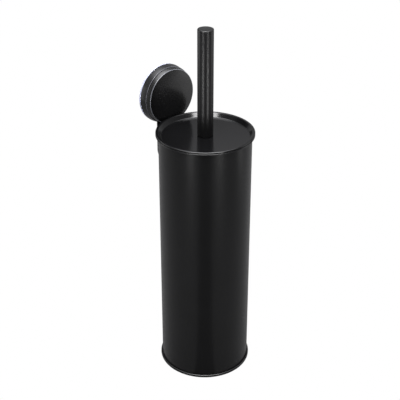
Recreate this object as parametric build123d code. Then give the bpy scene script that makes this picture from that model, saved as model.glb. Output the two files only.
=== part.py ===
from build123d import *
import math
import os

# A toilet brush holder: a tall round steel tumbler with a lidded brush, hung on a wall by a
# round suction mount. Millimetres. +Z is up and the wall is on the +Y side. The origin is on the
# tumbler's axis, on the plane that its base rests on.

# --- tumbler ---------------------------------------------------------------------------------
BODY_R = 47.2  # outside of the straight wall
WALL = 0.8  # sheet steel of the tumbler and the lid
BODY_BORE_R = BODY_R - WALL
RIM_R = 50.0  # outside of the rolled edges of tumbler and lid
LID_TOP_Z = 273.0
EDGE_BEAD = 1.7  # height of one rolled edge
EDGE_GAP = 0.2  # between the lid's edge and the tumbler's edge
SHELL_TOP_Z = LID_TOP_Z - EDGE_BEAD - EDGE_GAP
SEAM_R = 49.0
SEAM_HEIGHT = 3.0
SEAM_Z = 0.3  # underside of the seam, just clear of what the pad rests on
BASE_FLOOR_Z = 2.0  # underside of the base sheet
BASE_FLOOR_TOP_Z = BASE_FLOOR_Z + WALL
BASE_PAD_R = 44.0

# --- drip cup --------------------------------------------------------------------------------
CUP_R = 43.6
CUP_WALL = 1.5
CUP_FLOOR = 2.0
CUP_Z = BASE_FLOOR_TOP_Z + 0.2
CUP_TOP_Z = 98.0
CUP_LIP_R = 44.4

# --- lid -------------------------------------------------------------------------------------
DISH_FLOOR_Z = LID_TOP_Z - 4.3  # upper face of the sunk floor
DISH_R = 44.6  # middle of the sheet in the dish's wall
DISH_LIP_R = 46.4  # where the sheet leaves the rolled edge
BUSH_R = 10.0
BUSH_NECK_R = 6.0
BUSH_BORE_R = 4.3
BUSH_FLANGE = 1.4
BUSH_NECK = 0.2  # how far the bush stands above the dish's floor

# --- brush -----------------------------------------------------------------------------------
HANDLE_R = 8.0
HANDLE_WALL = 1.0
HANDLE_TOP_Z = 379.3
HANDLE_CAP = 1.6  # visible thickness of the end cap
HANDLE_CAP_PLUG = 8.0
HANDLE_Z = DISH_FLOOR_Z + BUSH_NECK + 0.3
PLUG_LENGTH = 22.0
STUD_R = 4.0  # M8 joining stud
STUD_TOP_Z = HANDLE_Z + 20.0
WASHER_R = 8.5
WASHER = 1.2
WASHER_TOP_Z = DISH_FLOOR_Z - WALL - BUSH_FLANGE - 0.3
M8_NUT_FLATS = 13.0
M8_NUT = 6.5
STEM_TOP_Z = WASHER_TOP_Z - WASHER - M8_NUT
STEM_TOP_R = 6.5
STEM_LOW_R = 5.0
SOCKET_DEPTH = 12.0
CORE_R = 9.0
CORE_Z = 22.0
CORE_TOP_Z = 102.0
CORE_SOCKET_R = 3.5
CORE_SOCKET_DEPTH = 14.0
BRISTLE_R = 35.5
BRISTLE_Z = 15.0
BRISTLE_TOP_Z = 92.0
BRISTLE_ROUND = 9.0

# --- suction mount, measured along Y from the tumbler's axis -----------------------------------
MOUNT_Z = 294.2  # height of the mount's axis
CAP_R = 29.6  # at the back of the skirt, which narrows towards the face
CAP_FACE_R = 28.7
CAP_FACE_Y = 50.6
CAP_WALL = 1.2
CAP_EDGE = 0.8
CAP_INSIDE_R = CAP_FACE_R - CAP_WALL
CAP_INSIDE_Y = CAP_FACE_Y + CAP_WALL
PLATE_Y = 54.4
PLATE = 1.4
PLATE_BACK_Y = PLATE_Y + PLATE
CAP_BACK_Y = PLATE_BACK_Y
CAP_SLOT_HALF_WIDTH = 23.3  # of the slot in the skirt that the plate comes down through
RING_GROOVE = 0.4  # between the cap's skirt and the ring
RING_Y = CAP_BACK_Y + RING_GROOVE
RING_BACK_Y = 64.2
RING_FRONT_R = 30.0
RING_R = 31.0  # at its back: the ring widens towards the wall
RING_BORE_R = 27.6
RING_CHAMFER = 0.4
PAD_R = 30.7
PAD_Y = RING_BACK_Y + 0.3
WALL_Y = 66.4  # the pad's flat back, which meets the bathroom wall
PAD_SKIN = 0.7
PULL_TRAVEL = 2.0
DISC_R = 14.5
DISC = 1.4
DISC_Y = WALL_Y - PAD_SKIN - 0.1 - DISC
WEB_BACK_Y = DISC_Y - PULL_TRAVEL - 0.3
WEB = 1.1
WEB_Y = WEB_BACK_Y - WEB
HUB_R = 13.8
HUB_Y = 52.9
HUB_FLANGE_R = 27.2
HUB_FLANGE = 1.0
CAVITY_R = 11.0
CAVITY_Y = 55.5
SLEEVE_R = 10.5
SLEEVE_Y = 56.1
THRUST_WASHER = 0.4
PULL_STUD_Y = 54.2
PULL_STUD_FLATS = 6.0
PULL_STUD_FLATS_END_Y = CAVITY_Y + PULL_TRAVEL + 0.3
NUT_RUNNING = 0.05
COLLAR_R = 15.8
COLLAR_BORE_R = 14.0
COLLAR_END_Y = PLATE_BACK_Y - 0.2
SNAP_Y = 53.6
SNAP = 1.0
SNAP_R = 14.6
SNAP_BORE_R = 13.2

# --- hanger ------------------------------------------------------------------------------------
PLATE_DISC_R = 27.9
PLATE_HALF_WIDTH = 17.0
PLATE_END_Z = 238.5  # centre of the round lower end
FIXING_ZS = (236.5, 256.5)
FIXING_HOLE_R = 2.1
SCREW_R = 2.0  # M4
SCREW_HEAD_R = 4.0
SCREW_HEAD = 1.0
SPACER_R = 5.5
M4_NUT_FLATS = 7.0
M4_NUT = 3.2
SCREW_OVER = 0.8  # of the screw's end past its nut


def turned(section):
    """A solid of revolution about Z from a section drawn in X and Z."""
    return revolve(section, axis=Axis.Z)


def block(radius_low, radius_high, z_low, z_high):
    """A rectangle in the X and Z plane, given by its limits."""
    centre = Pos((radius_low + radius_high) / 2, 0, (z_low + z_high) / 2)
    return centre * (Plane.XZ * Rectangle(radius_high - radius_low, z_high - z_low))


def rounded_block(radius_low, radius_high, z_low, z_high, corner):
    """The same with round corners."""
    centre = Pos((radius_low + radius_high) / 2, 0, (z_low + z_high) / 2)
    return centre * (Plane.XZ * RectangleRounded(radius_high - radius_low, z_high - z_low, corner))


def section(*points):
    """A closed outline of straight lines in the X and Z plane."""
    return make_face(Polyline(*[(x, 0, z) for x, z in points], close=True))


def rod(radius, low, high):
    """A cylinder on the Z axis between two heights."""
    return Pos(0, 0, (low + high) / 2) * Cylinder(radius, high - low)


def tube(bore_radius, radius, low, high):
    return rod(radius, low, high) - rod(bore_radius, low - 1, high + 1)


def hexagon(flats, low, high):
    """A hexagonal bar on the Z axis, given across its flats."""
    outline = RegularPolygon(flats / 2, 6, major_radius=False)
    return Pos(0, 0, low) * extrude(outline, high - low)


def along_y(piece, x=0.0, z=MOUNT_Z):
    """Turns a piece that was drawn along Z so that its height becomes Y."""
    return Pos(x, 0, z) * (Rot(-90, 0, 0) * piece)


# --- tumbler -----------------------------------------------------------------------------------
def tumbler_shell():
    """The wall, with its top edge rolled outwards, and holes for the hanger's screws."""
    wall = block(BODY_BORE_R, BODY_R, SEAM_Z + WALL, SHELL_TOP_Z - EDGE_BEAD / 2)
    edge = rounded_block(BODY_BORE_R, RIM_R, SHELL_TOP_Z - EDGE_BEAD, SHELL_TOP_Z, 0.8)
    shell = turned(wall + edge)
    for z in FIXING_ZS:
        shell -= along_y(rod(FIXING_HOLE_R, BODY_BORE_R - 5, BODY_R + 5), z=z)
    return shell


def tumbler_base():
    """The bottom sheet, seamed over the foot of the wall."""
    floor = block(0, BODY_BORE_R, BASE_FLOOR_Z, BASE_FLOOR_TOP_Z)
    seam = rounded_block(BODY_BORE_R - 1.2, SEAM_R, SEAM_Z, SEAM_Z + SEAM_HEIGHT, 0.9)
    groove = block(BODY_BORE_R, BODY_R, SEAM_Z + WALL, SEAM_Z + SEAM_HEIGHT + 1)
    return turned(floor + seam - groove)


def base_pad():
    """The soft disc that the tumbler stands on."""
    return rod(BASE_PAD_R, 0, BASE_FLOOR_Z)


# --- drip cup ----------------------------------------------------------------------------------
def drip_cup():
    """The loose plastic cup that the brush drips into, with a turned-out lip."""
    outside = rounded_block(0, CUP_R, CUP_Z, CUP_TOP_Z, 2.0) + block(0, CUP_R / 2, CUP_Z, CUP_TOP_Z)
    lip = rounded_block(CUP_R - CUP_WALL, CUP_LIP_R, CUP_TOP_Z - 3, CUP_TOP_Z, 0.7)
    hollow = block(0, CUP_R - CUP_WALL, CUP_Z + CUP_FLOOR, CUP_TOP_Z + 1)
    return turned(outside + lip - hollow)


# --- lid ---------------------------------------------------------------------------------------
def lid_disc():
    """A pressed lid: a rolled edge, a step down and a sunk floor with a hole for the bush."""
    edge = rounded_block(DISH_LIP_R, RIM_R, LID_TOP_Z - EDGE_BEAD, LID_TOP_Z, 0.8)
    middle_top = LID_TOP_Z - 0.9
    middle_floor = DISH_FLOOR_Z - WALL / 2
    path = FilletPolyline(
        (BUSH_NECK_R, 0, middle_floor),
        (DISH_R - 0.5, 0, middle_floor),
        (DISH_R + 0.5, 0, middle_top),
        (DISH_LIP_R + 1.0, 0, middle_top),
        radius=0.9,
    )
    sheet = trace(Plane.XZ.to_local_coords(path), line_width=WALL)
    return turned(edge + Plane.XZ * sheet)


def lid_bush():
    """A flanged plastic bush that the stud turns in, pushed up through the lid's hole."""
    sheet_z = DISH_FLOOR_Z - WALL
    flange = tube(BUSH_BORE_R, BUSH_R, sheet_z - BUSH_FLANGE, sheet_z)
    neck = tube(BUSH_BORE_R, BUSH_NECK_R, sheet_z - BUSH_FLANGE, DISH_FLOOR_Z + BUSH_NECK)
    return flange + neck


# --- brush -------------------------------------------------------------------------------------
def handle_tube():
    return tube(HANDLE_R - HANDLE_WALL, HANDLE_R, HANDLE_Z, HANDLE_TOP_Z - HANDLE_CAP)


def handle_cap():
    """The flat end of the handle, pushed into the tube, with a small round edge."""
    disc = rod(HANDLE_R, HANDLE_TOP_Z - HANDLE_CAP, HANDLE_TOP_Z)
    disc = fillet(disc.faces().sort_by(Axis.Z)[-1].edges(), 0.9)
    plug_top = HANDLE_TOP_Z - HANDLE_CAP
    return disc + rod(HANDLE_R - HANDLE_WALL, plug_top - HANDLE_CAP_PLUG, plug_top)


def handle_plug():
    """The threaded plug in the foot of the handle."""
    return tube(STUD_R, HANDLE_R - HANDLE_WALL, HANDLE_Z, HANDLE_Z + PLUG_LENGTH)


def joining_stud():
    """The threaded stud that joins handle, lid and stem."""
    return rod(STUD_R, STEM_TOP_Z - SOCKET_DEPTH, STUD_TOP_Z)


def lid_washer():
    return tube(STUD_R, WASHER_R, WASHER_TOP_Z - WASHER, WASHER_TOP_Z)


def lid_nut():
    """The nut under the lid, which lifts the lid with the handle."""
    top = WASHER_TOP_Z - WASHER
    return hexagon(M8_NUT_FLATS, top - M8_NUT, top) - rod(STUD_R, top - M8_NUT - 1, top + 1)


def brush_stem():
    """The tapered plastic stem, with a socket for the stud and a spigot for the head."""
    shaft = turned(
        section(
            (0, CORE_TOP_Z),
            (STEM_LOW_R, CORE_TOP_Z),
            (STEM_LOW_R, CORE_TOP_Z + 20),
            (STEM_TOP_R, STEM_TOP_Z - 25),
            (STEM_TOP_R, STEM_TOP_Z),
            (0, STEM_TOP_Z),
        )
    )
    spigot = rod(CORE_SOCKET_R, CORE_TOP_Z - CORE_SOCKET_DEPTH, CORE_TOP_Z)
    return shaft + spigot - rod(STUD_R, STEM_TOP_Z - SOCKET_DEPTH, STEM_TOP_Z + 1)


def brush_core():
    """The core that holds the bristles, with a domed foot and a shoulder under the stem."""
    body = rod(CORE_R, CORE_Z + CORE_R, CORE_TOP_Z - 6) + Pos(0, 0, CORE_Z + CORE_R) * Sphere(CORE_R)
    shoulder = Pos(0, 0, CORE_TOP_Z - 3) * Cone(CORE_R, STEM_LOW_R + 1, 6)
    socket = rod(CORE_SOCKET_R, CORE_TOP_Z - CORE_SOCKET_DEPTH, CORE_TOP_Z + 1)
    return body + shoulder - socket


def bristles():
    """The outer shape of the bristles around the core, rounded at both ends."""
    outline = rounded_block(0, BRISTLE_R, BRISTLE_Z, BRISTLE_TOP_Z, BRISTLE_ROUND)
    middle = block(0, BRISTLE_R / 2, BRISTLE_Z, BRISTLE_TOP_Z)
    core = rod(CORE_R, CORE_Z + CORE_R, BRISTLE_TOP_Z + 1) + Pos(0, 0, CORE_Z + CORE_R) * Sphere(CORE_R)
    return turned(outline + middle) - core


# --- hanger ------------------------------------------------------------------------------------
def hanger_plate():
    """A steel strip with a round upper end, clamped in the mount, and a half-round lower end."""
    drop = MOUNT_Z - PLATE_END_Z
    outline = Circle(PLATE_DISC_R)
    outline += Pos(0, drop / 2) * Rectangle(2 * PLATE_HALF_WIDTH, drop)
    outline += Pos(0, drop) * Circle(PLATE_HALF_WIDTH)
    outline -= Circle(COLLAR_R + 0.2)
    for z in FIXING_ZS:
        outline -= Pos(0, MOUNT_Z - z) * Circle(FIXING_HOLE_R)
    return along_y(Pos(0, 0, PLATE_Y) * extrude(outline, PLATE))


def hanger_spacers():
    """One sleeve on each screw, hollowed at its front end to sit on the round wall."""
    sleeve = tube(FIXING_HOLE_R, SPACER_R, BODY_R - 3, PLATE_Y)
    wall = rod(BODY_R, 0, LID_TOP_Z)
    return [along_y(sleeve, z=z) - wall for z in FIXING_ZS]


def hanger_screws():
    """Low-headed screws, put in from inside the tumbler."""
    head_y = math.sqrt(BODY_BORE_R**2 - SCREW_HEAD_R**2)
    end_y = PLATE_BACK_Y + M4_NUT + SCREW_OVER
    head = rod(SCREW_HEAD_R, head_y - SCREW_HEAD, head_y)
    head = fillet(head.faces().sort_by(Axis.Z)[0].edges(), 0.6)
    return [along_y(head + rod(SCREW_R, head_y - 0.2, end_y), z=z) for z in FIXING_ZS]


def hanger_nuts():
    nut = hexagon(M4_NUT_FLATS, PLATE_BACK_Y, PLATE_BACK_Y + M4_NUT)
    nut -= rod(SCREW_R, PLATE_BACK_Y - 1, PLATE_BACK_Y + M4_NUT + 1)
    return [along_y(nut, z=z) for z in FIXING_ZS]


# --- suction mount -----------------------------------------------------------------------------
def front_cap():
    """The round metal cover: a flat face with a soft edge, and a skirt slotted for the plate."""
    outside = section((0, CAP_FACE_Y), (CAP_FACE_R, CAP_FACE_Y), (CAP_R, CAP_BACK_Y), (0, CAP_BACK_Y))
    mouth = (CAP_R - CAP_WALL, CAP_BACK_Y)
    inside = section((0, CAP_INSIDE_Y), (CAP_INSIDE_R, CAP_INSIDE_Y), mouth, (0, CAP_BACK_Y))
    cover = fillet(turned(outside).faces().sort_by(Axis.Z)[0].edges(), CAP_EDGE) - turned(inside)
    slot_top = math.sqrt(CAP_R**2 - CAP_SLOT_HALF_WIDTH**2) - CAP_WALL
    slot = Box(2 * CAP_SLOT_HALF_WIDTH, CAP_R, CAP_R)
    slot = Pos(0, slot_top + CAP_R / 2, PLATE_Y - 0.3 + CAP_R / 2) * slot
    return along_y(cover - slot)


def cap_insert():
    """The plastic insert in the cap, whose collar snaps over the hub."""
    disc = tube(COLLAR_BORE_R, CAP_INSIDE_R, CAP_INSIDE_Y, PLATE_Y)
    collar = tube(COLLAR_BORE_R, COLLAR_R, CAP_INSIDE_Y, COLLAR_END_Y)
    return along_y(disc + collar - rod(SNAP_R, SNAP_Y, SNAP_Y + SNAP))


def snap_ring():
    """An open spring ring between the hub's groove and the collar's groove."""
    ring = tube(SNAP_BORE_R, SNAP_R, SNAP_Y, SNAP_Y + SNAP)
    return along_y(ring - Pos(0, SNAP_R, SNAP_Y) * Box(5, 2 * SNAP, 4 * SNAP))


def hub():
    """The fixed middle of the mount: a boss, a flange behind the plate and a cavity for the nut."""
    boss = rod(HUB_R, HUB_Y, PLATE_BACK_Y + HUB_FLANGE)
    flange = rod(HUB_FLANGE_R, PLATE_BACK_Y, PLATE_BACK_Y + HUB_FLANGE)
    cavity = rod(CAVITY_R, CAVITY_Y, PLATE_BACK_Y + HUB_FLANGE + 1)
    keyway = rod(STUD_R + 0.3, HUB_Y - 1, CAVITY_Y + 1)
    keyway &= Pos(0, 0, CAVITY_Y) * Box(2 * HUB_R, PULL_STUD_FLATS + 0.6, 20)
    groove = tube(SNAP_BORE_R, HUB_R + 1, SNAP_Y, SNAP_Y + SNAP)
    return along_y(boss + flange - cavity - keyway - groove)


def thrust_washer():
    return along_y(tube(STUD_R + 1.0, SLEEVE_R - 0.3, CAVITY_Y, CAVITY_Y + THRUST_WASHER))


def lock_ring():
    """The ring that is turned by hand. A web joins its rim to the sleeve that carries the nut."""
    rim = turned(
        section(
            (RING_BORE_R, RING_Y),
            (RING_FRONT_R - RING_CHAMFER, RING_Y),
            (RING_FRONT_R, RING_Y + RING_CHAMFER),
            (RING_R, RING_BACK_Y - RING_CHAMFER),
            (RING_R - RING_CHAMFER, RING_BACK_Y),
            (RING_BORE_R, RING_BACK_Y),
        )
    )
    web = tube(STUD_R + 0.4, RING_BORE_R + 0.5, WEB_Y, WEB_BACK_Y)
    sleeve = rod(SLEEVE_R, SLEEVE_Y, WEB_Y) - hexagon(M8_NUT_FLATS, SLEEVE_Y - 1, WEB_Y)
    return along_y(rim + web + sleeve)


def drive_nut():
    """The nut in the ring's sleeve, which draws the pull stud forwards."""
    nut = hexagon(M8_NUT_FLATS, SLEEVE_Y, WEB_Y)
    return along_y(nut - rod(STUD_R + NUT_RUNNING, SLEEVE_Y - 1, WEB_Y + 1))


def pull_stud():
    """The stud on the suction pad's disc, with two flats that keep it from turning."""
    flat_end = rod(STUD_R, PULL_STUD_Y, PULL_STUD_FLATS_END_Y)
    flat_end &= Pos(0, 0, PULL_STUD_Y) * Box(2 * STUD_R, PULL_STUD_FLATS, 20)
    return along_y(flat_end + rod(STUD_R, PULL_STUD_FLATS_END_Y, DISC_Y))


def pad_disc():
    """The stiff disc that pulls the middle of the pad away from the wall."""
    return along_y(rod(DISC_R, DISC_Y, DISC_Y + DISC))


def suction_pad():
    """The soft clear pad: a thick edge and a thin middle behind the disc."""
    pad = rod(PAD_R, PAD_Y, WALL_Y)
    pad = fillet(pad.faces().sort_by(Axis.Z)[0].edges(), 0.7)
    return along_y(pad - rod(DISC_R + 0.6, PAD_Y - 1, WALL_Y - PAD_SKIN))


NODES = {
    "tumbler_shell": tumbler_shell,
    "tumbler_base": tumbler_base,
    "base_pad": base_pad,
    "drip_cup": drip_cup,
    "lid_disc": lid_disc,
    "lid_bush": lid_bush,
    "handle_tube": handle_tube,
    "handle_cap": handle_cap,
    "handle_plug": handle_plug,
    "joining_stud": joining_stud,
    "lid_washer": lid_washer,
    "lid_nut": lid_nut,
    "brush_stem": brush_stem,
    "brush_core": brush_core,
    "bristles": bristles,
    "hanger_plate": hanger_plate,
    "hanger_spacers": hanger_spacers,
    "hanger_screws": hanger_screws,
    "hanger_nuts": hanger_nuts,
    "front_cap": front_cap,
    "cap_insert": cap_insert,
    "snap_ring": snap_ring,
    "hub": hub,
    "thrust_washer": thrust_washer,
    "lock_ring": lock_ring,
    "drive_nut": drive_nut,
    "pull_stud": pull_stud,
    "pad_disc": pad_disc,
    "suction_pad": suction_pad,
}


def write_parts():
    """Writes each piece to a STEP file named after it."""
    os.makedirs("parts", exist_ok=True)
    for name, make in NODES.items():
        made = make()
        solids = [s for piece in (made if isinstance(made, list) else [made]) for s in piece.solids()]
        shape = solids[0] if len(solids) == 1 else Compound(children=solids)
        export_step(shape, f"parts/{name}.step")


write_parts()
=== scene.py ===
import functools
import math
import random

import bmesh
import bpy
from mathutils import Matrix, Vector

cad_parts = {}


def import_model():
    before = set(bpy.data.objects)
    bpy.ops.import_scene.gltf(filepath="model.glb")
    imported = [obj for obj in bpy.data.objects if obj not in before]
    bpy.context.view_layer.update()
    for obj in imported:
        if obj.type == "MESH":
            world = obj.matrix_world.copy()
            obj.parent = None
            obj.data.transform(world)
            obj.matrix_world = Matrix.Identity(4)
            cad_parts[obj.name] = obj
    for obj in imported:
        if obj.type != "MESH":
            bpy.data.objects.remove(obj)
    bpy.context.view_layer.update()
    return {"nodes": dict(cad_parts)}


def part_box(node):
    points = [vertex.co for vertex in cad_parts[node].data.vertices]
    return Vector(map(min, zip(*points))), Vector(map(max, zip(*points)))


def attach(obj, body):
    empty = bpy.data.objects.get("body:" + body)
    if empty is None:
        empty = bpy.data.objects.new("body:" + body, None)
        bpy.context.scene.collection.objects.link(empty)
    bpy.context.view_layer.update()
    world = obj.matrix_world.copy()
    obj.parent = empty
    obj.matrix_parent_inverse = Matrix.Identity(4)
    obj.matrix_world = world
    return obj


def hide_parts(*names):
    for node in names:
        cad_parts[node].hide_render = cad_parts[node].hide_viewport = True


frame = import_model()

MM = 0.001
SEGMENTS = 192  # of a turned piece
COARSE, FINE = 96, 256  # of a small one, and of the mount's
UPRIGHT = Matrix.Identity(4)
random.seed(7)

# The pieces, in millimetres.
SHEET = 0.7
BEAD = 0.85  # radius of the rolled edges of the tumbler and the lid
LID_DEPTH = 4.3  # from the lid's top down to its sunk floor
LID_BORE = 6.0  # radius of the hole for the bush
HANDLE_WALL = 1.0
STUD_R = 4.0  # of the joining stud's thread
SPIGOT_R = 3.5  # of the stem's foot, in the core
SCREW_R = 2.1  # clearance for the hanger screws
SCREW_HEAD_R = 4.0
PLATE_HALF = 17.0  # half the hanger plate's width, and the radius of its lower end
PLATE_HOLE_R = 16.0
FILAMENTS = 13  # in each tuft
PAINTED_HIGHLIGHT_DEPTH = 0.7  # how far back the painted highlights along the mount's edges reach
MASK_BLEND = 0.12  # the width over which one finish of the mount passes into the next

# The studio.
CAMERA_AZIMUTH = -41.6  # degrees from the front, towards -X
CAMERA_TILT = 28.78  # degrees down
FLOOR_DARK, FLOOR_PALE = (0.060, 0.060, 0.060), (0.067, 0.067, 0.067)  # as the object reflects it
SURROUND = (0.41, 0.41, 0.42)
OVERHEAD = 22.0  # how much brighter the surround is straight above
OVERHEAD_START, OVERHEAD_FULL = 0.77, 0.93  # the sine of the elevation where it starts and where it is full
FLOOR_HALF, FLOOR_DROP = 6000, 0.5  # millimetres
MAT_HALF_ANGLE, MAT_LENGTH, MAT_DROP = 16.0, 1200.0, 0.2  # degrees, millimetres


# --- places and sizes, from the frame, in millimetres ---------------------------------------------
@functools.cache
def low(node):
    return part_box(node)[0] / MM


@functools.cache
def high(node):
    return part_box(node)[1] / MM


RIM_R = high("lid_disc").x
LID_TOP = high("lid_disc").z
SHELL_TOP = high("tumbler_shell").z
SEAM_R = high("tumbler_base").x
SEAM_LOW = low("tumbler_base").z
FOOT = high("base_pad").z
BODY_R = RIM_R - 2.8
HANDLE_R = high("handle_tube").x
MOUNT = (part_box("front_cap")[0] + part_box("front_cap")[1]) / 2 / MM
CAP_R = high("front_cap").x
CAP_FACE = low("front_cap").y
CAP_BACK = high("front_cap").y
RING_R = high("lock_ring").x
RING_BACK = high("lock_ring").y
PLATE_FRONT = low("hanger_plate").y
PLATE_BACK = high("hanger_plate").y
PAD_R = high("suction_pad").x
PAD_FRONT = low("suction_pad").y
WALL = high("suction_pad").y


# --- mesh helpers ---------------------------------------------------------------------------------
def rounded(corners, closed=True):
    """Points of an outline through (radius, height, fillet) corners, with each fillet as an arc."""
    points = []
    count = len(corners)
    for i, (x, z, r) in enumerate(corners):
        here = Vector((x, z))
        if r <= 0 or (not closed and i in (0, count - 1)):
            points.append(here)
            continue
        back = Vector(corners[i - 1][:2]) - here
        on = Vector(corners[(i + 1) % count][:2]) - here
        angle = back.angle(on)
        reach = min(r / math.tan(angle / 2), 0.499 * back.length, 0.499 * on.length)
        radius = reach * math.tan(angle / 2)
        start = here + back.normalized() * reach
        end = here + on.normalized() * reach
        middle = here + (back.normalized() + on.normalized()).normalized() * (radius / math.sin(angle / 2))
        a0 = math.atan2(start.y - middle.y, start.x - middle.x)
        a1 = math.atan2(end.y - middle.y, end.x - middle.x)
        turn = (a1 - a0 + math.pi) % (2 * math.pi) - math.pi
        steps = max(2, int(abs(turn) / math.radians(15)) + 1)
        for k in range(steps + 1):
            a = a0 + turn * k / steps
            points.append(middle + radius * Vector((math.cos(a), math.sin(a))))
    return points


def arc(x, z, r, start, end, steps=12):
    """Points on a circle about (x, z), from one angle to another in degrees."""
    angles = [math.radians(start + (end - start) * k / steps) for k in range(steps + 1)]
    return [Vector((x + r * math.cos(a), z + r * math.sin(a))) for a in angles]


def new_object(name, mesh):
    obj = bpy.data.objects.new(name, mesh)
    bpy.context.scene.collection.objects.link(obj)
    return obj


def shade_smooth(mesh, sharp=32):
    """Smooth shading, apart from edges that turn by more than an angle in degrees."""
    mesh.polygons.foreach_set("use_smooth", [True] * len(mesh.polygons))
    mesh.set_sharp_from_angle(angle=math.radians(sharp))


def write_mesh(bm, name, sharp):
    """Writes a bmesh in millimetres as an object in metres."""
    bmesh.ops.scale(bm, vec=(MM, MM, MM), verts=bm.verts)
    mesh = bpy.data.meshes.new(name)
    bm.to_mesh(mesh)
    bm.free()
    shade_smooth(mesh, sharp)
    return new_object(name, mesh)


def finish_mesh(bm, name, sharp=32):
    """Joins doubled points, turns the faces outwards and writes the bmesh."""
    bmesh.ops.remove_doubles(bm, verts=bm.verts, dist=1e-5)
    bmesh.ops.recalc_face_normals(bm, faces=bm.faces)
    return write_mesh(bm, name, sharp)


def spin(bm, outline, segments=SEGMENTS, where=UPRIGHT):
    """Adds the closed outline turned about Z. Points on the axis become one vertex."""
    rings = []
    for p in outline:
        if abs(p.x) < 1e-6:
            rings.append([bm.verts.new(where @ Vector((0, 0, p.y)))] * segments)
            continue
        ring = []
        for k in range(segments):
            a = 2 * math.pi * k / segments
            ring.append(bm.verts.new(where @ Vector((p.x * math.cos(a), p.x * math.sin(a), p.y))))
        rings.append(ring)
    count = len(rings)
    for i in range(count):
        one, two = rings[i], rings[(i + 1) % count]
        for k in range(segments):
            n = (k + 1) % segments
            corners = []
            for v in (one[k], one[n], two[n], two[k]):
                if v not in corners:
                    corners.append(v)
            if len(corners) > 2:
                bm.faces.new(corners)


def turned(name, outline, segments=SEGMENTS, where=UPRIGHT):
    bm = bmesh.new()
    spin(bm, outline, segments, where)
    return finish_mesh(bm, name)


def along_y(z=MOUNT.z):
    """Turns what is drawn up Z so that it runs along Y, at a height."""
    return Matrix.Translation((0, 0, z)) @ Matrix.Rotation(math.radians(-90), 4, "X")


def combine(obj, other, operation):
    """Cuts or intersects an object with another one, which is then removed."""
    mod = obj.modifiers.new("cut", "BOOLEAN")
    mod.operation = operation
    mod.object = other
    mod.solver = "EXACT"
    depsgraph = bpy.context.evaluated_depsgraph_get()
    depsgraph.update()
    made = bpy.data.meshes.new_from_object(obj.evaluated_get(depsgraph))
    old = obj.data
    obj.modifiers.clear()
    obj.data = made
    bpy.data.meshes.remove(old)
    shade_smooth(made)
    bpy.data.objects.remove(other)


def prism(bm, outline, z0, z1, where=UPRIGHT):
    """Adds a closed flat outline of (x, y) points, drawn out from z0 to z1."""
    bottom = [bm.verts.new(where @ Vector((x, y, z0))) for x, y in outline]
    top = [bm.verts.new(where @ Vector((x, y, z1))) for x, y in outline]
    bm.faces.new(bottom[::-1])
    bm.faces.new(top)
    for k in range(len(outline)):
        n = (k + 1) % len(outline)
        bm.faces.new((bottom[k], bottom[n], top[n], top[k]))


# --- materials ------------------------------------------------------------------------------------
def new_material(name):
    mat = bpy.data.materials.new(name)
    mat.use_nodes = True
    nodes = mat.node_tree.nodes
    return mat, nodes, mat.node_tree.links, nodes["Principled BSDF"]


def coordinates(nodes, links, scale=(1, 1, 1)):
    coords = nodes.new("ShaderNodeTexCoord")
    mapping = nodes.new("ShaderNodeMapping")
    mapping.inputs["Scale"].default_value = scale
    links.new(coords.outputs["Object"], mapping.inputs["Vector"])
    return mapping.outputs["Vector"]


def noise(nodes, links, vector, scale, detail=4.0, rough=0.55):
    tex = nodes.new("ShaderNodeTexNoise")
    tex.inputs["Scale"].default_value = scale
    tex.inputs["Detail"].default_value = detail
    tex.inputs["Roughness"].default_value = rough
    links.new(vector, tex.inputs["Vector"])
    return tex.outputs["Fac"]


def spread(nodes, links, value, low_value, high_value, from_low=0.3, from_high=0.7):
    ramp = nodes.new("ShaderNodeMapRange")
    ramp.inputs["From Min"].default_value = from_low
    ramp.inputs["From Max"].default_value = from_high
    ramp.inputs["To Min"].default_value = low_value
    ramp.inputs["To Max"].default_value = high_value
    links.new(value, ramp.inputs["Value"])
    return ramp.outputs["Result"]


def mixed_colour(nodes, links, value, one, two):
    mix = nodes.new("ShaderNodeMix")
    mix.data_type = "RGBA"
    mix.inputs["A"].default_value = (*one, 1)
    mix.inputs["B"].default_value = (*two, 1)
    links.new(value, mix.inputs["Factor"])
    return mix.outputs["Result"]


def bump(nodes, links, height, strength, distance):
    node = nodes.new("ShaderNodeBump")
    node.inputs["Strength"].default_value = strength
    node.inputs["Distance"].default_value = distance
    links.new(height, node.inputs["Height"])
    return node.outputs["Normal"]


def surface(
    name, one, two, rough, grain, strength, distance=0.0002, metallic=0.0, specular=0.5, stretch=(1, 1, 1)
):
    """A solid material: slow colour variation, roughness that varies, and a fine grain in relief."""
    mat, nodes, links, shader = new_material(name)
    plain = coordinates(nodes, links)
    slow = spread(nodes, links, noise(nodes, links, plain, 22.0, 3.0), 0, 1)
    links.new(mixed_colour(nodes, links, slow, one, two), shader.inputs["Base Color"])
    fine_vector = coordinates(nodes, links, stretch)
    fine = noise(nodes, links, fine_vector, grain, 3.0, 0.6)
    links.new(spread(nodes, links, fine, rough[0], rough[1]), shader.inputs["Roughness"])
    links.new(bump(nodes, links, fine, strength, distance), shader.inputs["Normal"])
    shader.inputs["Metallic"].default_value = metallic
    shader.inputs["Specular IOR Level"].default_value = specular
    return mat, shader


def paint_material(name, rough):
    """Satin black powder coat: a very fine orange peel under a soft sheen."""
    dark, pale = (0.0011, 0.0011, 0.0012), (0.0018, 0.0018, 0.0020)
    return surface(name, dark, pale, rough, 1400.0, 0.05, specular=0.29)[0]


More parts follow.
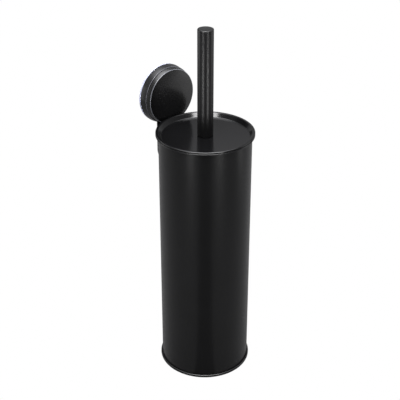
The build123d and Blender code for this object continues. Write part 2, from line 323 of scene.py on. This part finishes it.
def radius_mask(nodes, links, inner_r, low_value, high_value):
    """A value that changes at a radius from the mount's axis, and how far back the surface is."""
    coords = nodes.new("ShaderNodeTexCoord")
    split = nodes.new("ShaderNodeSeparateXYZ")
    links.new(coords.outputs["Object"], split.inputs["Vector"])
    lower = nodes.new("ShaderNodeMath")
    lower.operation = "SUBTRACT"
    lower.inputs[1].default_value = MOUNT.z * MM
    links.new(split.outputs["Z"], lower.inputs[0])
    flat = nodes.new("ShaderNodeCombineXYZ")
    links.new(split.outputs["X"], flat.inputs["X"])
    links.new(lower.outputs["Value"], flat.inputs["Y"])
    length = nodes.new("ShaderNodeVectorMath")
    length.operation = "LENGTH"
    links.new(flat.outputs["Vector"], length.inputs[0])
    radius = length.outputs["Value"]
    start, end = inner_r * MM, (inner_r + MASK_BLEND) * MM
    return spread(nodes, links, radius, low_value, high_value, start, end), split.outputs["Y"]


def axial_mask(nodes, links, inner_r, front_y, depth):
    """1 where the surface is further than a radius from the mount's axis and close behind a plane."""
    outside, back = radius_mask(nodes, links, inner_r, 0, 1)
    start, end = (front_y + depth) * MM, (front_y + depth + MASK_BLEND) * MM
    ahead = spread(nodes, links, back, 1, 0, start, end)
    both = nodes.new("ShaderNodeMath")
    both.operation = "MULTIPLY"
    links.new(outside, both.inputs[0])
    links.new(ahead, both.inputs[1])
    return both.outputs["Value"]


def painted_highlight_edge(mat, shader, mask, colour):
    """Mixes a lighter colour, a painted highlight, into a material's colour where the mask is 1."""
    nodes, links = mat.node_tree.nodes, mat.node_tree.links
    mix = nodes.new("ShaderNodeMix")
    mix.data_type = "RGBA"
    mix.inputs["B"].default_value = (*colour, 1)
    links.new(shader.inputs["Base Color"].links[0].from_socket, mix.inputs["A"])
    links.new(mask, mix.inputs["Factor"])
    links.new(mix.outputs["Result"], shader.inputs["Base Color"])


def cap_material():
    """Satin black with a thin gloss coat on the face, and a painted highlight, a lighter colour, in a fine
    line around its edge.
    """
    dark, pale = (0.0008, 0.0008, 0.0009), (0.0013, 0.0013, 0.0014)
    mat, shader = surface("smooth_black_paint", dark, pale, (0.26, 0.33), 1800.0, 0.02)
    nodes, links = mat.node_tree.nodes, mat.node_tree.links
    face_r = CAP_R - 1.5
    links.new(radius_mask(nodes, links, face_r, 0.35, 0.0)[0], shader.inputs["Coat Weight"])
    shader.inputs["Coat Roughness"].default_value = 0.14
    links.new(radius_mask(nodes, links, face_r, 0.25, 0.40)[0], shader.inputs["Specular IOR Level"])
    # painted highlight: a lighter colour in a thin band just behind the face's edge, in place of the edge's
    # reflection
    mask = axial_mask(nodes, links, face_r + 0.05, CAP_FACE, PAINTED_HIGHLIGHT_DEPTH)
    painted_highlight_edge(mat, shader, mask, (0.075, 0.078, 0.088))
    return mat


def ring_material():
    """Moulded satin plastic, with a painted highlight, a lighter colour, along the front edge of the ring."""
    dark, pale = (0.0035, 0.0035, 0.004), (0.005, 0.005, 0.0056)
    mat, shader = surface("ring_plastic", dark, pale, (0.22, 0.29), 1600.0, 0.06, specular=0.26)
    # painted highlight: a lighter colour along the ring's front edge, in place of the light that edge catches
    mask = axial_mask(mat.node_tree.nodes, mat.node_tree.links, RING_R - 1.5, CAP_BACK, PAINTED_HIGHLIGHT_DEPTH)
    painted_highlight_edge(mat, shader, mask, (0.045, 0.045, 0.052))
    return mat


def plastic_material(name, one, two, rough=(0.42, 0.55)):
    return surface(name, one, two, rough, 1100.0, 0.16)[0]


def metal_material(name, one, two):
    return surface(name, one, two, (0.22, 0.36), 900.0, 0.05, metallic=1.0, stretch=(1, 1, 8))[0]


def foam_material():
    return surface("foam", (0.018, 0.018, 0.018), (0.03, 0.03, 0.03), (0.8, 0.95), 2600.0, 0.5, 0.0004)[0]


def bristle_material():
    return surface("bristle_nylon", (0.010, 0.010, 0.011), (0.020, 0.020, 0.022), (0.3, 0.45), 700.0, 0.05)[0]


def pad_material():
    """Clear soft plastic with a faint blue tint and a slightly frosted face."""
    mat, shader = surface("clear_pad", (0.70, 0.73, 0.93), (0.78, 0.80, 0.96), (0.18, 0.30), 800.0, 0.05)
    shader.inputs["Transmission Weight"].default_value = 0.75
    shader.inputs["IOR"].default_value = 1.46
    return mat


PAINT = paint_material("black_powder_coat", (0.22, 0.28))
LID_PAINT = paint_material("black_lid_coat", (0.13, 0.18))
HANDLE_PAINT = paint_material("black_handle_coat", (0.31, 0.38))
CAP_PAINT = cap_material()
RING_PLASTIC = ring_material()
BLACK_PLASTIC = plastic_material("black_plastic", (0.010, 0.010, 0.011), (0.016, 0.016, 0.017))
CUP_PLASTIC = plastic_material("cup_plastic", (0.030, 0.030, 0.033), (0.042, 0.042, 0.046))
WHITE_PLASTIC = plastic_material("white_plastic", (0.70, 0.70, 0.68), (0.80, 0.80, 0.78), (0.35, 0.48))
ZINC = metal_material("zinc_plate", (0.52, 0.52, 0.51), (0.66, 0.65, 0.62))
BRASS = metal_material("turned_brass", (0.62, 0.43, 0.18), (0.74, 0.54, 0.26))
FOAM = foam_material()
NYLON = bristle_material()
CLEAR = pad_material()


def place(obj, body, slot, material, *nodes):
    """Gives a piece its material and its body, and hides the CAD nodes that it stands for; the slot argument
    is not used.
    """
    obj.data.materials.clear()
    obj.data.materials.append(material)
    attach(obj, body)
    if nodes:
        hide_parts(*nodes)
    return obj


# --- tumbler --------------------------------------------------------------------------------------
def tumbler_wall():
    """The straight wall with its top edge rolled outwards into a bead."""
    x, z = RIM_R - BEAD, SHELL_TOP - BEAD
    foot = SEAM_LOW + 0.8
    flare, mouth = 0.7, 1.3
    outline = [Vector((BODY_R - SHEET, foot)), Vector((BODY_R, foot))]
    outline += arc(BODY_R + flare, z - 0.75, flare, 180, 90, 6)
    outline += arc(x, z, BEAD, 225, 450, 20)
    outline += [Vector((x - 0.5, SHELL_TOP))]
    outline += arc(BODY_R - SHEET + mouth, SHELL_TOP - mouth, mouth, 90, 180, 8)
    return place(turned("tumbler_wall", outline), "holder", "black_steel", PAINT, "tumbler_shell")


def tumbler_foot():
    """The base sheet and the double seam that grips the wall's foot."""
    top = high("tumbler_base").z
    floor_top, groove = FOOT + 0.8, SEAM_LOW + 0.75
    outer, inner = BODY_R + 0.02, BODY_R - SHEET - 0.02
    outline = rounded(
        [
            (0, FOOT, 0),
            (BODY_R - 2.6, FOOT, 0.4),
            (BODY_R - 2.0, SEAM_LOW, 0.5),
            (SEAM_R, SEAM_LOW, 0.95),
            (SEAM_R, top, 0.95),
            (outer, top, 0.3),
            (outer, groove, 0),
            (inner, groove, 0),
            (inner, top, 0.2),
            (BODY_R - 1.4, top, 0.2),
            (BODY_R - 1.6, floor_top, 0.5),
            (0, floor_top, 0),
        ]
    )
    return place(turned("tumbler_foot", outline), "holder", "black_steel", PAINT, "tumbler_base")


def foot_pad():
    radius = high("base_pad").x
    outline = rounded([(0, 0, 0), (radius, 0, 0.5), (radius, FOOT, 0.2), (0, FOOT, 0)])
    return place(turned("foot_pad", outline), "holder", "foam", FOAM, "base_pad")


# --- drip cup -------------------------------------------------------------------------------------
def cup():
    """A moulded cup with a turned-out lip, three stiffening beads and a raised ring on its floor."""
    bottom, top = low("drip_cup").z, high("drip_cup").z
    lip, hollow = high("drip_cup").x, bottom + 0.8
    r, wall = lip - 0.8, 1.5
    floor_top, ring_top = bottom + 2, bottom + 3.2
    corners = [(0, hollow, 0), (r - 8, hollow, 0.6), (r - 8.8, bottom, 0.4), (r - 0.2, bottom, 2.2)]
    for k in range(3):
        z = bottom + (top - bottom) * (0.72 + 0.07 * k)
        corners += [(r, z - 1.4, 0.6), (r + 0.35, z, 0.6), (r, z + 1.4, 0.6)]
    corners += [(r, top - 3, 0.3), (lip, top - 3, 0.3), (lip, top, 0.7), (r - wall, top, 0.5)]
    corners += [(r - wall - 0.1, floor_top, 1.6), (20, floor_top, 0.4), (19, ring_top, 0.5)]
    corners += [(17.6, ring_top, 0.5), (16.6, floor_top, 0.4), (0, floor_top, 0)]
    return place(turned("drip_cup_shell", rounded(corners)), "cup", "cup_plastic", CUP_PLASTIC, "drip_cup")


# --- lid ------------------------------------------------------------------------------------------
def lid():
    """The pressed lid: a rolled outer edge, a flat flange, a step down and the sunk floor."""
    floor_r, flange_r = 44.3, 47.3
    floor_top = LID_TOP - LID_DEPTH
    x, z = RIM_R - BEAD, LID_TOP - BEAD
    top_side = rounded(
        [(LID_BORE, floor_top, 0), (floor_r, floor_top, 1.0), (flange_r, LID_TOP, 0.6), (x, LID_TOP, 0)],
        closed=False,
    )
    under_side = rounded(
        [
            (x - 0.9, LID_TOP - SHEET, 0),
            (flange_r + 0.3, LID_TOP - SHEET, 0.3),
            (floor_r + 0.3, floor_top - SHEET, 1.6),
            (LID_BORE, floor_top - SHEET, 0),
        ],
        closed=False,
    )
    outline = top_side + arc(x, z, BEAD, 84, -165, 24) + under_side
    return place(turned("lid_pressing", outline), "lid", "black_steel", LID_PAINT, "lid_disc")


def bush():
    """The bush in the lid's hole, with a flange under the sheet."""
    bottom, top = low("lid_bush").z, high("lid_bush").z
    bore, flange = 4.3, 10.0
    sheet_low = LID_TOP - LID_DEPTH - 0.8
    outline = rounded(
        [
            (bore, bottom, 0.3),
            (flange, bottom, 0.4),
            (flange, sheet_low, 0.1),
            (LID_BORE, sheet_low, 0),
            (LID_BORE, top, 0.15),
            (bore, top, 0.15),
        ]
    )
    return place(turned("lid_bush_ring", outline, COARSE), "lid", "black_plastic", BLACK_PLASTIC, "lid_bush")


# --- brush ----------------------------------------------------------------------------------------
def handle():
    bottom, top = low("handle_tube").z, high("handle_tube").z
    inner = HANDLE_R - HANDLE_WALL
    outline = rounded(
        [(inner, bottom, 0.2), (HANDLE_R, bottom, 0.35), (HANDLE_R, top, 0.08), (inner, top, 0.08)]
    )
    return place(turned("handle_grip", outline), "brush", "black_steel", HANDLE_PAINT, "handle_tube")


def handle_end():
    """The flat end cap, its spigot in the tube and its edge rounded."""
    top, bottom = high("handle_cap").z, low("handle_cap").z
    seat = high("handle_tube").z
    outline = rounded(
        [
            (0, bottom, 0),
            (HANDLE_R - HANDLE_WALL, bottom, 0.5),
            (HANDLE_R - HANDLE_WALL, seat, 0),
            (HANDLE_R, seat, 0.08),
            (HANDLE_R, top, 0.95),
            (0, top, 0),
        ]
    )
    return place(turned("handle_end_cap", outline), "brush", "black_steel", HANDLE_PAINT, "handle_cap")


def washer_under_lid():
    bottom, top, r = low("lid_washer").z, high("lid_washer").z, high("lid_washer").x
    outline = rounded([(STUD_R, bottom, 0.15), (r, bottom, 0.25), (r, top, 0.25), (STUD_R, top, 0.15)])
    return place(turned("lid_washer_ring", outline, COARSE), "brush", "zinc_steel", ZINC, "lid_washer")


def hex_nut(name, flats, bore, z0, z1, where=UPRIGHT):
    """A hexagon nut with its corners chamfered and its bore countersunk."""
    corner = flats / 2 / math.cos(math.radians(30))
    face_r = flats / 2 * 0.97
    drop = (corner - face_r) * math.tan(math.radians(30)) + 0.15
    sink = 0.5
    bm = bmesh.new()
    angles = [math.radians(60 * k) for k in range(6)]
    prism(bm, [(corner * math.cos(a), corner * math.sin(a)) for a in angles], z0, z1)
    nut = finish_mesh(bm, name)
    corners = [(bore + sink, z0), (face_r, z0), (corner + 0.3, z0 + drop), (corner + 0.3, z1 - drop)]
    corners += [(face_r, z1), (bore + sink, z1), (bore, z1 - sink), (bore, z0 + sink)]
    barrel = turned("barrel", [Vector(point) for point in corners], COARSE)
    combine(nut, barrel, "INTERSECT")
    nut.data.transform(Matrix.Scale(MM, 4) @ where @ Matrix.Scale(1 / MM, 4))
    return nut


def nut_under_lid():
    nut = hex_nut("lid_nut_hex", 13.0, STUD_R, low("lid_nut").z, high("lid_nut").z)
    return place(nut, "brush", "zinc_steel", ZINC, "lid_nut")


def stem():
    """The moulded stem: a ribbed collar under the nut, a long taper and a spigot in the head."""
    bottom, top = low("brush_stem").z, high("brush_stem").z
    shoulder = high("brush_core").z
    r_low, r_high = 5.0, high("brush_stem").x
    between = r_high - 0.35
    bore_end = top - 12
    corners = [(0, bottom, 0), (SPIGOT_R, bottom, 0.4), (SPIGOT_R, shoulder, 0)]
    corners += [(r_low, shoulder, 0.4), (r_low, shoulder + 20, 9), (between, top - 25, 9)]
    for k in range(4):
        z = top - 20 + 4 * k
        corners += [(between, z - 1.3, 0.3), (r_high, z - 0.6, 0.3)]
        corners += [(r_high, z + 0.6, 0.3), (between, z + 1.3, 0.3)]
    corners += [(r_high, top - 4, 0.5), (r_high, top, 0.5)]
    corners += [(STUD_R, top, 0.3), (STUD_R, bore_end, 0), (0, bore_end, 0)]
    made = turned("brush_stem_moulding", rounded(corners), COARSE)
    return place(made, "brush", "black_plastic", BLACK_PLASTIC, "brush_stem")


def tuft_roots():
    """Where each tuft leaves the core, and the way that it points: rows up the core, then its foot."""
    core_r = high("brush_core").x
    foot_z = low("brush_core").z + core_r
    first, last, rows, around = foot_z + 1.0, high("bristles").z - 3.5, 13, 18
    roots = []
    for row in range(rows):
        z = first + (last - first) * row / (rows - 1)
        for k in range(around):
            a = 2 * math.pi * (k + 0.5 * (row % 2)) / around
            out = Vector((math.cos(a), math.sin(a), 0))
            roots.append((out * core_r + Vector((0, 0, z)), out))
    for tilt, around in ((13, 17), (27, 16), (41, 13), (55, 10), (69, 7), (84, 3)):
        for k in range(around):
            a = 2 * math.pi * (k + 0.25 * (tilt % 4)) / around
            t = math.radians(tilt)
            out = Vector((math.cos(a) * math.cos(t), math.sin(a) * math.cos(t), -math.sin(t)))
            roots.append((out * core_r + Vector((0, 0, foot_z)), out))
    return roots


def filament_length(root, direction):
    """How far a filament runs before it meets the bristles' rounded outer shape."""
    r_out, bottom, top, round_r = high("bristles").x, low("bristles").z, high("bristles").z, 9.0
    length = 0.0
    while length < 60.0:
        p = root + direction * length
        r = math.hypot(p.x, p.y)
        z = min(max(p.z, bottom + round_r), top - round_r)
        if math.hypot(max(r - (r_out - round_r), 0), p.z - z) > round_r or r > r_out:
            break
        length += 0.4
    return length


def filament(bm, root, direction, length, radius, sag):
    """One bristle: a thin four-sided rod of three spans with a slight bow and a narrow tip."""
    side = direction.cross(Vector((0.3, 0.2, 1))).normalized()
    up = direction.cross(side)
    rings = []
    for k, width in ((0, 1.0), (1, 1.0), (2, 0.95), (3, 0.55)):
        t = k / 3
        centre = root + direction * (length * t) + sag * (t * t)
        offsets = [side * (radius * width), up * (radius * width)]
        offsets += [-offset for offset in offsets]
        rings.append([bm.verts.new(centre + offset) for offset in offsets])
    for one, two in zip(rings, rings[1:]):
        for k in range(4):
            bm.faces.new((one[k], one[(k + 1) % 4], two[(k + 1) % 4], two[k]))
    bm.faces.new(rings[0][::-1])
    bm.faces.new(rings[-1])


def bristle_tufts():
    """Tufts of nylon filaments, each tuft fanning out a little from its hole in the core."""
    bm = bmesh.new()
    for root, out in tuft_roots():
        for _ in range(FILAMENTS):
            lean = Vector([random.uniform(-1, 1) for _ in range(3)]) * 0.13
            direction = (out + lean).normalized()
            start = root - out * 1.5 + Vector([random.uniform(-0.8, 0.8) for _ in range(3)])
            length = filament_length(start, direction) * random.uniform(0.94, 1.0)
            sag = Vector([random.uniform(-0.7, 0.7) for _ in range(3)])
            filament(bm, start, direction, length - 1.0, 0.24, sag)
    return place(write_mesh(bm, "bristle_tufts", 50), "brush", "bristle", NYLON, "bristles")


def core():
    """The moulded core: a straight cylinder with a round foot and a chamfered top."""
    core_r, top, foot_z = high("brush_core").x, high("brush_core").z, low("brush_core").z
    corners = arc(0, foot_z + core_r, core_r, -90, 0, 10)
    corners += rounded(
        [
            (core_r, foot_z + core_r + 1, 0),
            (core_r, top - 6, 0.6),
            (6.0, top, 0.5),
            (SPIGOT_R, top, 0.2),
            (SPIGOT_R, top - 14, 0),
            (0, top - 14, 0),
        ],
        closed=False,
    )
    made = turned("brush_core_moulding", corners, COARSE)
    return place(made, "brush", "black_plastic", BLACK_PLASTIC, "brush_core")


# --- hanger ---------------------------------------------------------------------------------------
def circle_points(y, r, start=0.0, end=360.0, steps=64):
    """Points on a circle about (0, y), from one angle up to, but not at, another in degrees."""
    angles = [math.radians(start + (end - start) * k / steps) for k in range(steps)]
    return [(r * math.cos(a), y + r * math.sin(a)) for a in angles]


def plate():
    """The hanger plate, cut from sheet with slightly soft edges."""
    disc_r = high("hanger_plate").x
    drop = MOUNT.z - (low("hanger_plate").z + PLATE_HALF)
    join = math.degrees(math.asin(PLATE_HALF / disc_r))
    outer = circle_points(0, disc_r, 90 + join, 450 - join, 160)
    outer += [(PLATE_HALF, math.cos(math.radians(join)) * disc_r)]
    outer += circle_points(drop, PLATE_HALF, 0, 180) + [(-PLATE_HALF, drop)]
    edge = 0.18
    thick = PLATE_BACK - PLATE_FRONT
    curve = bpy.data.curves.new("hanger_strip", "CURVE")
    curve.dimensions = "2D"
    curve.fill_mode = "BOTH"
    curve.extrude = (thick / 2 - edge) * MM
    curve.bevel_depth = edge * MM
    curve.bevel_resolution = 2
    curve.offset = -edge * MM
    loops = [outer, circle_points(0, PLATE_HOLE_R)]
    loops += [circle_points(MOUNT.z - z, SCREW_R, steps=32) for z in screw_heights()]
    for loop in loops:
        spline = curve.splines.new("POLY")
        spline.points.add(len(loop) - 1)
        for point, (x, y) in zip(spline.points, loop):
            point.co = (x * MM, y * MM, 0, 1)
        spline.use_cyclic_u = True
    made = new_object("hanger_strip_curve", curve)
    depsgraph = bpy.context.evaluated_depsgraph_get()
    mesh = bpy.data.meshes.new_from_object(made.evaluated_get(depsgraph))
    bpy.data.objects.remove(made)
    mesh.transform(along_y(MOUNT.z * MM) @ Matrix.Translation((0, 0, (PLATE_FRONT + PLATE_BACK) / 2 * MM)))
    shade_smooth(mesh)
    return place(new_object("hanger_strip", mesh), "holder", "black_steel", PAINT, "hanger_plate")


def screw_heights():
    """The heights of the two fixings, from the box that holds both heads."""
    return (low("hanger_screws").z + SCREW_HEAD_R, high("hanger_screws").z - SCREW_HEAD_R)


def spacers():
    """A sleeve on each screw, its front end hollowed to the tumbler's round wall."""
    front, outer, reach_z = BODY_R - 3, 5.5, 15
    outline = rounded(
        [(SCREW_R, front, 0), (outer, front, 0), (outer, PLATE_FRONT, 0.3), (SCREW_R, PLATE_FRONT, 0.2)]
    )
    for k, z in enumerate(screw_heights()):
        sleeve = turned(f"hanger_spacer_{k + 1}", outline, COARSE, along_y(z))
        corners = [(0, z - reach_z), (BODY_R, z - reach_z), (BODY_R, z + reach_z), (0, z + reach_z)]
        wall = turned("wall", [Vector(corner) for corner in corners])
        combine(sleeve, wall, "DIFFERENCE")
        place(sleeve, "holder", "black_steel", PAINT)
    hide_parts("hanger_spacers")


def thread(bm, radius, pitch, z0, z1, where):
    """A rod with a helical thread from z0 to z1, rounded off at its free end."""
    around, per_pitch = 40, 8
    depth = 0.54 * pitch
    rows = int((z1 - z0) / pitch * per_pitch)
    rings = []
    for i in range(rows + 1):
        z = z0 + (z1 - z0) * i / rows
        end = min(1.0, (z1 - z) / pitch)
        ring = []
        for k in range(around):
            turn = (z / pitch - k / around) % 1.0
            cut = depth * abs(2 * turn - 1)
            r = min(radius - cut, radius - depth + depth * end)
            a = 2 * math.pi * k / around
            ring.append(bm.verts.new(where @ Vector((r * math.cos(a), r * math.sin(a), z))))
        rings.append(ring)
    for one, two in zip(rings, rings[1:]):
        for k in range(around):
            bm.faces.new((one[k], one[(k + 1) % around], two[(k + 1) % around], two[k]))
    bm.faces.new(rings[0][::-1])
    bm.faces.new(rings[-1])


def screws():
    """Low-headed screws with a cross recess, threaded to their ends."""
    head_y, end_y = low("hanger_screws").y, high("hanger_screws").y
    under, edge = head_y + 1.0, SCREW_HEAD_R
    outline = rounded([(0, head_y, 0), (edge, head_y, 0.75), (edge, under, 0.1), (0, under, 0)])
    long, wide = 2.1, 0.42
    slot = [(long, wide), (-long, wide), (-long, -wide), (long, -wide)]
    for k, z in enumerate(screw_heights()):
        where = along_y(z)
        head = turned(f"hanger_screw_{k + 1}", outline, 64, where)
        bm = bmesh.new()
        for angle in (0, 90):
            turn = Matrix.Rotation(math.radians(angle), 4, "Z")
            prism(bm, slot, head_y - 1, head_y + 0.7, where @ turn)
        combine(head, finish_mesh(bm, "cross"), "DIFFERENCE")
        bm = bmesh.new()
        bm.from_mesh(head.data)
        bmesh.ops.scale(bm, vec=(1 / MM, 1 / MM, 1 / MM), verts=bm.verts)
        thread(bm, 2.0, 0.7, head_y + 0.98, end_y, where)
        bpy.data.objects.remove(head)
        place(finish_mesh(bm, f"hanger_screw_{k + 1}", 40), "holder", "zinc_steel", ZINC)
    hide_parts("hanger_screws")


def nuts():
    for k, z in enumerate(screw_heights()):
        nut = hex_nut(f"hanger_nut_{k + 1}", 7.0, 1.95, PLATE_BACK, high("hanger_nuts").y, along_y(z))
        place(nut, "holder", "zinc_steel", ZINC)
    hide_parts("hanger_nuts")


# --- suction mount --------------------------------------------------------------------------------
def cap():
    """The round cover: a very slightly crowned face, a small rounded edge, which its material paints with a
    highlight, and a slotted skirt.
    """
    face_r, wall, slot_half = CAP_R - 0.9, 1.2, 23.3
    outline = rounded(
        [
            (0, CAP_FACE + 0.02, 0),
            (face_r * 0.5, CAP_FACE + 0.10, 20.0),
            (face_r - 0.1, CAP_FACE + 0.40, 0.75),
            (CAP_R, CAP_BACK, 0.3),
            (CAP_R - wall, CAP_BACK, 0.3),
            (face_r - wall, CAP_FACE + wall, 0.3),
            (0, CAP_FACE + wall, 0),
        ]
    )
    cover = turned("mount_cap", outline, FINE, along_y())
    near = math.sqrt(CAP_R**2 - slot_half**2) - wall
    far = near + CAP_R
    slot = [(slot_half, near), (slot_half, far), (-slot_half, far), (-slot_half, near)]
    bm = bmesh.new()
    prism(bm, slot, PLATE_FRONT - 0.3, CAP_BACK + 5, along_y())
    combine(cover, finish_mesh(bm, "slot"), "DIFFERENCE")
    return place(cover, "holder", "cap_steel", CAP_PAINT, "front_cap")


def nut_sleeve(back):
    """The ring's sleeve around the drive nut."""
    bore, outer, front = 7.6, 10.5, low("drive_nut").y
    outline = rounded([(bore, front, 0.2), (outer, front, 0.3), (outer, back, 0), (bore, back, 0)])
    place(turned("mount_nut_sleeve", outline, COARSE, along_y()), "ring", "ring_plastic", RING_PLASTIC)


def lock_ring():
    """The turning ring: a rim that widens towards the wall, a ribbed web and a sleeve for the nut."""
    front, bore, front_r, eye = CAP_BACK + 0.4, 27.6, RING_R - 1.0, 4.4
    web_back = low("pad_disc").y - 2.3
    web_front = web_back - 1.1
    outline = rounded(
        [
            (eye, web_front, 0),
            (bore, web_front, 0.3),
            (bore, front, 0.2),
            (front_r, front, 0.45),
            (RING_R, RING_BACK, 0.45),
            (bore, RING_BACK, 0.4),
            (bore, web_back, 0.5),
            (eye, web_back, 0.2),
        ]
    )
    bm = bmesh.new()
    spin(bm, outline, FINE, along_y())
    rib_start, rib_end, rib_half = 15.5, bore + 0.2, 0.6
    rib = [(rib_start, rib_half), (rib_start, -rib_half), (rib_end, -rib_half), (rib_end, rib_half)]
    for k in range(12):
        turn = Matrix.Rotation(math.radians(30 * k + 15), 4, "Z")
        prism(bm, rib, web_back - 0.2, RING_BACK - 0.7, along_y() @ turn)
    ring = finish_mesh(bm, "mount_lock_ring")
    nut_sleeve(web_front + 0.2)
    return place(ring, "ring", "ring_plastic", RING_PLASTIC, "lock_ring")


def pad():
    """The clear pad: a thick soft edge, thinner in the middle."""
    middle, middle_r = WALL - 0.7, 15.1
    outline = rounded(
        [
            (0, middle, 0),
            (middle_r, middle, 0.3),
            (middle_r + 0.4, PAD_FRONT, 0.3),
            (PAD_R, PAD_FRONT, 0.6),
            (PAD_R, WALL, 0.25),
            (0, WALL, 0),
        ]
    )
    made = turned("mount_suction_pad", outline, SEGMENTS, along_y())
    return place(made, "holder", "clear_pad", CLEAR, "suction_pad")


def carried_over():
    """The sealed inner pieces keep their CAD shape and get a finished material."""
    finishes = {
        "handle_plug": WHITE_PLASTIC,
        "joining_stud": ZINC,
        "cap_insert": BLACK_PLASTIC,
        "snap_ring": ZINC,
        "hub": WHITE_PLASTIC,
        "thrust_washer": ZINC,
        "drive_nut": BRASS,
        "pull_stud": ZINC,
        "pad_disc": WHITE_PLASTIC,
    }
    for node, material in finishes.items():
        data = frame["nodes"][node].data
        data.materials.clear()
        data.materials.append(material)


# --- studio ---------------------------------------------------------------------------------------
def camera():
    """A long lens, looking down at the object with its wall mount behind and to the left."""
    azimuth = math.radians(CAMERA_AZIMUTH)
    distance, height, aside = 0.8844, 0.6802, -0.0053  # metres
    data = bpy.data.cameras.new("camera")
    data.lens = 87.5
    data.sensor_width = 36.0
    data.clip_end = 50
    cam = bpy.data.objects.new("camera", data)
    cam.location = (
        aside * math.cos(azimuth) + distance * math.sin(azimuth),
        aside * math.sin(azimuth) - distance * math.cos(azimuth),
        height,
    )
    cam.rotation_euler = (math.radians(90 - CAMERA_TILT), 0, azimuth)
    bpy.context.scene.collection.objects.link(cam)
    bpy.context.scene.camera = cam


def softbox(name, bearing, height, distance, size, power, target_z=0.15, tint=(1, 1, 1)):
    """A rectangular light, at a bearing from the camera's side, facing a height on the object's axis."""
    a = math.radians(CAMERA_AZIMUTH + bearing)
    data = bpy.data.lights.new(name, "AREA")
    data.shape = "RECTANGLE"
    data.size, data.size_y = size
    data.energy = power
    data.color = tint
    light = bpy.data.objects.new(name, data)
    light.location = (distance * math.sin(a), -distance * math.cos(a), height)
    way = Vector((0, 0, target_z)) - Vector(light.location)
    light.rotation_mode = "QUATERNION"
    light.rotation_quaternion = way.to_track_quat("-Z", "Y")
    light.visible_camera = False
    bpy.context.scene.collection.objects.link(light)


def seen_white(nodes, links, plain):
    """White as the camera sees it directly, and the plain shader as the object reflects it."""
    path = nodes.new("ShaderNodeLightPath")
    white = nodes.new("ShaderNodeEmission")
    white.inputs["Color"].default_value = (1, 1, 1, 1)
    mix = nodes.new("ShaderNodeMixShader")
    links.new(path.outputs["Is Camera Ray"], mix.inputs["Fac"])
    links.new(plain, mix.inputs[1])
    links.new(white.outputs["Emission"], mix.inputs[2])
    return mix.outputs["Shader"]


def floor():
    """The plain floor: white where the camera sees it, dark grey in the object's reflections."""
    bm = bmesh.new()
    bmesh.ops.create_grid(bm, x_segments=1, y_segments=1, size=FLOOR_HALF)
    ground = finish_mesh(bm, "floor")
    ground.location.z = -FLOOR_DROP * MM
    mat, nodes, links, shader = new_material("pale_floor")
    tone = noise(nodes, links, coordinates(nodes, links), 3.0)
    links.new(mixed_colour(nodes, links, tone, FLOOR_DARK, FLOOR_PALE), shader.inputs["Base Color"])
    shader.inputs["Roughness"].default_value = 0.8
    shown = seen_white(nodes, links, shader.outputs["BSDF"])
    links.new(shown, nodes["Material Output"].inputs["Surface"])
    ground.data.materials.append(mat)


def dark_mat():
    """A dark wedge on the floor between the object and the camera, which only reflections see."""
    bm = bmesh.new()
    corners = [(0, 0)]
    for side in (-MAT_HALF_ANGLE, MAT_HALF_ANGLE):
        a = math.radians(CAMERA_AZIMUTH + side)
        corners.append((MAT_LENGTH * math.sin(a), -MAT_LENGTH * math.cos(a)))
    bm.faces.new([bm.verts.new((x, y, 0.0)) for x, y in corners])
    mat_object = finish_mesh(bm, "dark_mat")
    mat_object.location.z = -MAT_DROP * MM
    mat_object.visible_camera = False
    material, nodes, links, shader = new_material("dark_cloth")
    tone = noise(nodes, links, coordinates(nodes, links), 900.0)
    colour = mixed_colour(nodes, links, tone, (0.02, 0.02, 0.02), (0.03, 0.03, 0.03))
    links.new(colour, shader.inputs["Base Color"])
    shader.inputs["Roughness"].default_value = 0.9
    mat_object.data.materials.append(material)


def world():
    """A grey surround, bright overhead, that lights the object; the camera sees it as white."""
    made = bpy.data.worlds.new("studio")
    bpy.context.scene.world = made
    made.use_nodes = True
    nodes, links = made.node_tree.nodes, made.node_tree.links
    back = nodes["Background"]
    back.inputs["Color"].default_value = (*SURROUND, 1)
    direction = nodes.new("ShaderNodeTexCoord")
    split = nodes.new("ShaderNodeSeparateXYZ")
    links.new(direction.outputs["Generated"], split.inputs["Vector"])
    overhead = spread(nodes, links, split.outputs["Z"], 1.0, OVERHEAD, OVERHEAD_START, OVERHEAD_FULL)
    links.new(overhead, back.inputs["Strength"])
    shown = seen_white(nodes, links, back.outputs["Background"])
    links.new(shown, nodes["World Output"].inputs["Surface"])


def studio():
    bpy.context.scene.view_settings.view_transform = "Standard"
    camera()
    world()
    floor()
    dark_mat()
    softbox("left_strip", -33, 0.135, 0.55, (0.10, 0.21), 1.0, 0.33)
    softbox("right_strip", 33, 0.135, 0.55, (0.10, 0.21), 1.0, 0.33)
    softbox("right_panel", 92, 0.07, 0.50, (0.14, 0.17), 0.06, 0.3)
    softbox("left_panel", -100, 0.30, 0.9, (0.5, 0.6), 1.8)
    softbox("far_panel", 100, 0.30, 0.9, (0.5, 0.6), 1.4)
    softbox("top_back", 175, 1.1, 0.50, (0.8, 0.5), 1.2, 0.25, (0.90, 0.95, 1.0))
    softbox("top_front", 0, 1.1, 0.42, (0.8, 0.4), 26.0, 0.25)


tumbler_wall()
tumbler_foot()
foot_pad()
cup()
lid()
bush()
handle()
handle_end()
washer_under_lid()
nut_under_lid()
stem()
core()
bristle_tufts()
plate()
spacers()
screws()
nuts()
cap()
lock_ring()
pad()
carried_over()
studio()
